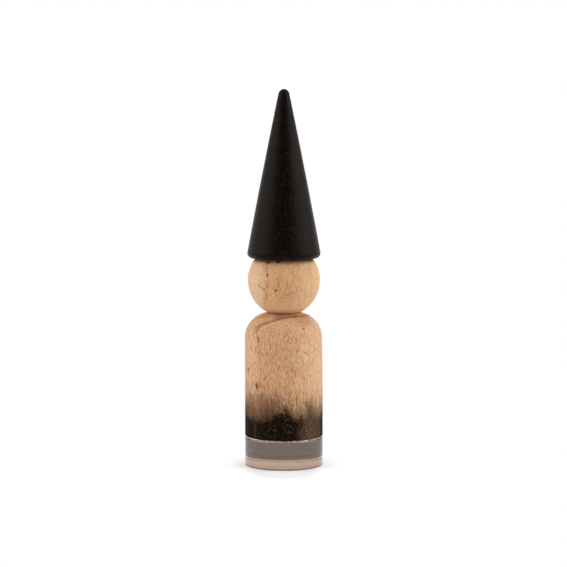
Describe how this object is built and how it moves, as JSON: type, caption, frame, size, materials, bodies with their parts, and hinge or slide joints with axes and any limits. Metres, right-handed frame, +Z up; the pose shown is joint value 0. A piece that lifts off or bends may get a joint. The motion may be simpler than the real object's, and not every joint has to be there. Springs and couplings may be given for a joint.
{
  "type": "turned wooden figurine",
  "caption": "Free-standing turned wooden figurine: tall black cone hat, plain ball head and round-shouldered body with a blackened foot, on a clear round base.",
  "frame": {"origin": "centre of the base's underside, where the figurine stands", "axes": "+Z up along the turned axis, +Y towards the back of the pictured side, +X to the right in the picture"},
  "size_m": [0.04, 0.04, 0.1924],
  "materials": {
    "clear_acrylic": "polished, clear with a light smoke tint",
    "adhesive": "clear bonding film",
    "body_wood": "sanded bare wood, brushed black over the lowest fifth",
    "head_wood": "sanded bare wood",
    "black_paint": "turned wood under satin black paint",
    "pin_wood": "plain hardwood dowel"
  },
  "bodies": {
    "root": {"base": "clear_acrylic", "bonding_film": "adhesive", "body": "body_wood", "head": "head_wood", "hat": "black_paint", "neck_pin": "pin_wood", "hat_pin": "pin_wood"}
  },
  "joints": []
}
